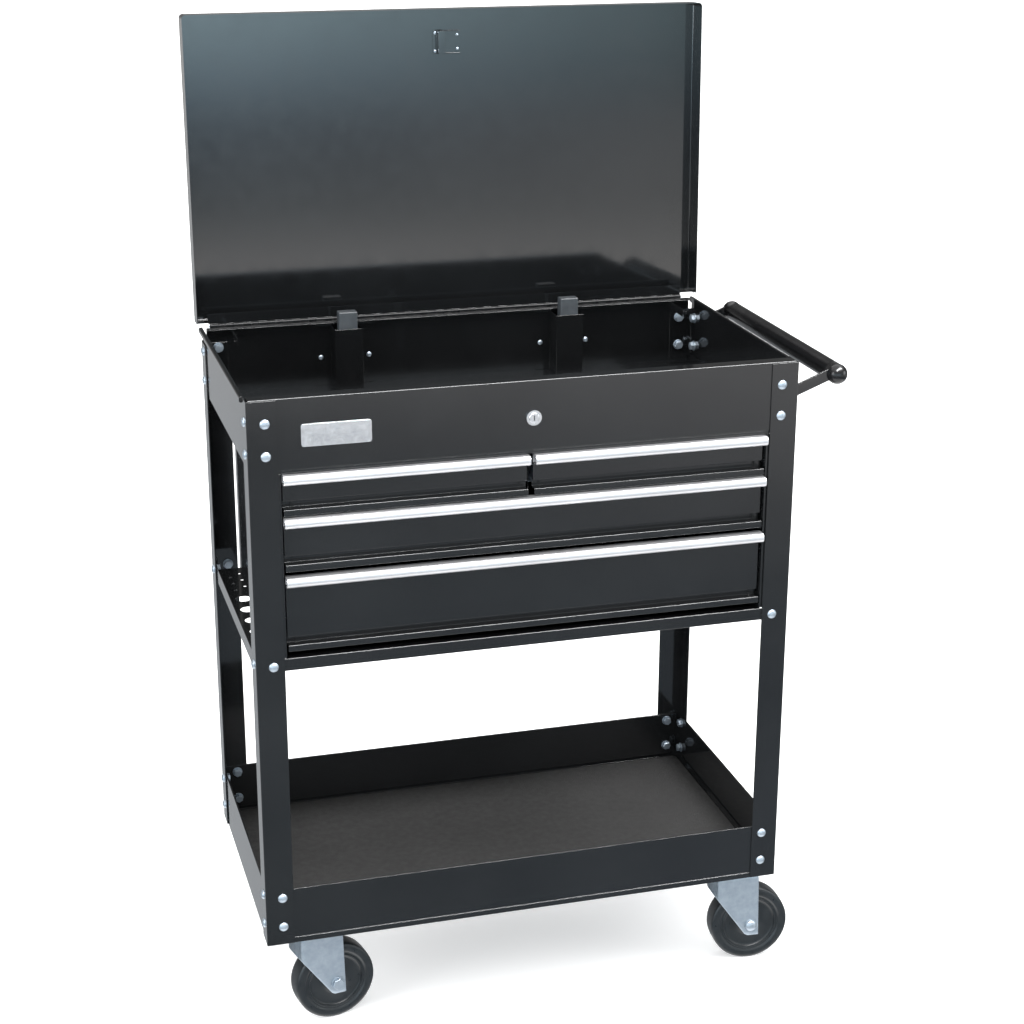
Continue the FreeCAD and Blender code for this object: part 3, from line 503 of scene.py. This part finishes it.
def fork_shell(shape, matrix):
    """Pressed fork: two flat legs that run into a round crown, cut off along a slant."""
    path = [(TOE - k * 5.0, -CROWN_R) for k in range(12)]
    # Known fault: the arc goes on past the middle (9 steps), so the rear of the crown is laid
    # twice, and a sheet inside the fork joins the two.
    for k in range(1, 18):
        a = math.radians(-90 - 10 * k)
        path.append((CROWN_R * math.cos(a), CROWN_R * math.sin(a)))
    path += [(u, -v) for u, v in reversed(path[:-1])]
    slant = (HEEL_Z - FOOT_Z) / (FOOT_U - HEEL_U)

    def foot(u):
        if u > FOOT_U:
            return FOOT_Z
        return min(max(HEEL_Z - (u - HEEL_U) * slant, FOOT_Z), HEEL_Z)

    rows, shoulder_u = 14, 12
    shoulder = ((0.985, CROWN_TOP + 2.0), (0.94, CROWN_TOP + 3.2), (0.84, CROWN_TOP + 3.6))
    verts, faces = [], []
    for u, v in path:
        low = foot(u)
        lean = 0.028 if u > 50 else 0.0
        for r in range(rows + 1):
            z = low + (CROWN_TOP - low) * r / rows
            verts.append(((u + lean * (CROWN_TOP - z)) * MM, v * MM, z * MM))
        for scale, z in shoulder:
            verts.append(((shoulder_u + (u - shoulder_u) * scale) * MM, v * scale * MM, z * MM))
    step = rows + 1 + len(shoulder)
    for i in range(len(path) - 1):
        for r in range(step - 1):
            a = i * step + r
            faces.append((a, a + step, a + step + 1, a + 1))
    for i in range(len(path) // 2):      # the top, closed by strips from one leg to the other
        j = len(path) - 1 - i
        a, b = (i + 1) * step - 1, (j + 1) * step - 1
        if i + 1 < j - 1:
            faces.append((a, a + step, b - step, b))
        elif i + 1 == j - 1:
            faces.append((a, a + step, b))
    shape.add(verts, faces, matrix)


def fork(spot, swivel):
    shell = Shape()
    fork_shell(shell, swivel)
    obj = shell.make("fork_shell_" + spot, "swivel_" + spot, "zinc_steel", 40)
    wall = obj.modifiers.new("wall", "SOLIDIFY")
    wall.thickness, wall.offset = 2.6 * MM, 0.0
    ease(obj, 0.5)
    return obj


def bearing(spot, swivel, axle):
    """Raceway and king pin, the axle, and a washer and nut at each end of it."""
    race = Shape()
    race.lathe([(0, 150.0), (20, 150.0), (24.2, 150.4), (25.9, 152.0), (26.5, 154.5), (26.5, 157.0),
                (25.7, 158.8), (23.9, 159.6), (8.0, 159.6), (6.0, 160.0), (6.0, 168.4), (0, 168.4)],
               swivel, 64)
    race.lathe([(0, -26.6), (6.0, -26.6), (6.0, 26.6), (0, 26.6)], axle, 32)
    for flip in (0, 180):
        end_matrix = axle @ Matrix.Rotation(math.radians(flip), 4, "X")
        race.lathe([(6.0, 22.4), (10.2, 22.4), (10.4, 22.6), (10.4, 23.6), (10.2, 23.8), (6.0, 23.8)],
                   end_matrix, 36)
        if spot == "front_right" and flip == 0:      # one end has a domed cap
            race.lathe([(9.4, 23.6), (9.3, 24.6), (8.4, 26.4), (6.4, 27.8), (3.4, 28.5), (0, 28.7)],
                       end_matrix, 40)
        else:
            hexagon(race, ((9.2, 23.8), (9.4, 24.3), (9.4, 28.0), (8.6, 28.6)), end_matrix, 12)
    race.make("fork_bearing_" + spot, "swivel_" + spot, "zinc_steel", 35)


for spot, heading in HEADINGS.items():
    end, side = spot.split("_")
    x, y = CASTER_X[side == "right"], CASTER_Y[end == "back"]
    swivel = Matrix.Translation(at(x, y, 0)) @ Matrix.Rotation(math.radians(heading), 4, "Z")
    axle = swivel @ Matrix.Translation((TRAIL * MM, 0, WHEEL_R * MM)) @ Matrix.Rotation(
        math.radians(90), 4, "X")
    obj = fork(spot, swivel)
    bearing(spot, swivel, axle)
    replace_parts(obj, "fork_" + spot)
    tyre = Shape()
    tyre.lathe(wheel_profile(), axle, 128)
    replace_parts(tyre.make("wheel_moulding_" + spot, "wheel_" + spot, "grey_polymer", 40),
                "wheel_" + spot)

# ---------------------------------------------------------------- stage, light and camera
bpy.ops.mesh.primitive_plane_add(size=40, location=(0, 0, 0))
floor = bpy.context.object
FLOOR_GLOW = 0.38
floor.name = "floor"
ground = Nodes("pale_floor")
floor.data.materials.append(ground.surface(
    ground.ramp(ground.noise(0.8), [(0.3, (0.88, 0.88, 0.88)), (0.7, (0.90, 0.90, 0.90))]),
    0.9, ground.bump(ground.noise(30.0), 0.02, 0.001), Emission_Color=(1, 1, 1, 1),
    Emission_Strength=FLOOR_GLOW))
floor.visible_glossy = False

world = bpy.data.worlds.new("studio")
bpy.context.scene.world = world
world.use_nodes = True
tree = world.node_tree
coords = tree.nodes.new("ShaderNodeTexCoord")
split = tree.nodes.new("ShaderNodeSeparateXYZ")
tree.links.new(coords.outputs["Generated"], split.inputs["Vector"])


def sky(stops):
    """Brightness of the studio by height above the horizon, from -1 to 1."""
    place = tree.nodes.new("ShaderNodeMapRange")
    place.inputs["From Min"].default_value, place.inputs["From Max"].default_value = -1.0, 1.0
    tree.links.new(split.outputs["Z"], place.inputs["Value"])
    ramp = tree.nodes.new("ShaderNodeValToRGB")
    tree.links.new(place.outputs["Result"], ramp.inputs["Fac"])
    fill(ramp.color_ramp, [((z + 1) / 2, colour) for z, colour in stops])
    return ramp.outputs["Color"]


def blend(axis, low, high, first, second):
    """Fades from one part of the studio to another along a horizontal axis."""
    place = tree.nodes.new("ShaderNodeMapRange")
    place.inputs["From Min"].default_value, place.inputs["From Max"].default_value = low, high
    tree.links.new(split.outputs[axis], place.inputs["Value"])
    mixer = tree.nodes.new("ShaderNodeMix")
    mixer.data_type = "RGBA"      # its colour sockets have no names of their own
    tree.links.new(place.outputs["Result"], mixer.inputs[0])
    tree.links.new(first, mixer.inputs[6])
    tree.links.new(second, mixer.inputs[7])
    return mixer.outputs[2]


LEFT_SKY = [(-0.72, (0.6, 0.6, 0.6)), (-0.63, (0.040, 0.050, 0.058)), (-0.36, (0.075, 0.088, 0.100)),
            (-0.29, (0.090, 0.098, 0.105)), (-0.20, (0.44, 0.43, 0.43)), (-0.155, (0.48, 0.47, 0.47)),
            (-0.124, (0.18, 0.20, 0.21)), (-0.087, (0.15, 0.19, 0.23)), (-0.06, (0.36, 0.50, 0.60)),
            (-0.03, (0.66, 0.90, 1.0)), (0.05, (0.50, 0.60, 0.70)), (0.30, (0.22, 0.24, 0.25)),
            (0.50, (0.14, 0.14, 0.14)), (0.64, (0.5, 0.5, 0.5)), (0.95, (0.6, 0.6, 0.6))]
RIGHT_SKY = [(-0.72, (0.6, 0.6, 0.6)), (-0.63, (0.060, 0.075, 0.100)), (-0.36, (0.060, 0.070, 0.080)),
             (-0.29, (0.20, 0.20, 0.205)), (-0.20, (0.36, 0.35, 0.35)), (-0.155, (0.42, 0.41, 0.40)),
             (-0.124, (0.28, 0.28, 0.28)), (-0.087, (0.25, 0.25, 0.25)), (-0.06, (0.06, 0.08, 0.08)),
             (-0.03, (0.08, 0.12, 0.13)), (0.05, (0.22, 0.26, 0.28)), (0.30, (0.22, 0.24, 0.25)),
             (0.50, (0.14, 0.14, 0.14)), (0.64, (0.5, 0.5, 0.5)), (0.95, (0.6, 0.6, 0.6))]
REAR_SKY = [(-0.72, (0.6, 0.6, 0.6)), (-0.63, (0.10, 0.105, 0.11)), (-0.30, (0.11, 0.115, 0.12)),
            (-0.10, (0.12, 0.12, 0.12)), (0.05, (0.05, 0.05, 0.05)), (0.30, (0.02, 0.02, 0.02)),
            (0.50, (0.06, 0.06, 0.06)), (0.64, (0.5, 0.5, 0.5)), (0.95, (0.6, 0.6, 0.6))]
SIDE_FADE, REAR_FADE, SKY_POWER = (0.14, 0.42), (-0.35, 0.35), 4.5
front_sky = blend("X", *SIDE_FADE, sky(LEFT_SKY), sky(RIGHT_SKY))
whole_sky = blend("Y", *REAR_FADE, front_sky, sky(REAR_SKY))
background = tree.nodes["Background"]
tree.links.new(whole_sky, background.inputs["Color"])
background.inputs["Strength"].default_value = SKY_POWER
white = tree.nodes.new("ShaderNodeBackground")
white.inputs["Color"].default_value = (1, 1, 1, 1)
white.inputs["Strength"].default_value = 1.0
seen = tree.nodes.new("ShaderNodeLightPath")
mix = tree.nodes.new("ShaderNodeMixShader")
tree.links.new(seen.outputs["Is Camera Ray"], mix.inputs["Fac"])
tree.links.new(background.outputs["Background"], mix.inputs[1])
tree.links.new(white.outputs["Background"], mix.inputs[2])
tree.links.new(mix.outputs["Shader"], tree.nodes["World Output"].inputs["Surface"])


def lamp(name, place, target, width, height, power):
    """A rectangular lamp aimed at target, in metres and watts."""
    data = bpy.data.lights.new(name, "AREA")
    data.shape, data.size, data.size_y = "RECTANGLE", width, height
    data.energy = power
    obj = bpy.data.objects.new(name, data)
    obj.location = place
    obj.rotation_euler = (Vector(target) - Vector(place)).to_track_quat("-Z", "Y").to_euler()
    bpy.context.scene.collection.objects.link(obj)
    return obj


overhead = lamp("overhead", (0.0, -0.3, 3.6), (0, 0, 0.6), width=3.4, height=2.6, power=15)
front_card = lamp("front_card", (-0.6, -4.6, 1.3), (0, 0, 0.7), width=3.2, height=1.8, power=60)
edge_strip = lamp("edge_strip", (0.6, -1.2, 3.1), (0, 0, 0.7), width=3.0, height=0.7, power=360)
lamp("left_card", (-3.6, -1.2, 1.9), (0, 0, 0.8), width=2.0, height=1.6, power=70)
lamp("right_card", (3.6, -1.6, 1.6), (0, 0, 0.8), width=1.6, height=1.6, power=40)
overhead.visible_glossy = front_card.visible_glossy = False
edge_strip.visible_diffuse = False      # only its reflections show, as lines along the folds

# The camera is the one fitted to the photograph: place in cart millimetres, turns in radians.
EYE = (-384.49, -2640.60, 1757.17)
LENS, SENSOR = 72.36, 36.0
camera = bpy.data.cameras.new("camera")
eye = bpy.data.objects.new("camera", camera)
bpy.context.scene.collection.objects.link(eye)
camera.lens, camera.sensor_width, camera.sensor_fit = LENS, SENSOR, "HORIZONTAL"
camera.clip_start, camera.clip_end = 0.05, 100.0
yaw, pitch, roll = 0.278647, 0.332125, 0.002606
ahead = Vector((math.sin(yaw) * math.cos(pitch), math.cos(yaw) * math.cos(pitch), -math.sin(pitch)))
level = Vector((math.cos(yaw), -math.sin(yaw), 0.0))
above = level.cross(ahead)
right = math.cos(roll) * level + math.sin(roll) * above
up = -math.sin(roll) * level + math.cos(roll) * above
turned = Matrix((right, up, -ahead)).transposed().to_4x4()
eye.matrix_world = Matrix.Translation(at(*EYE)) @ turned
bpy.context.scene.camera = eye
bpy.context.scene.view_settings.view_transform = "Standard"
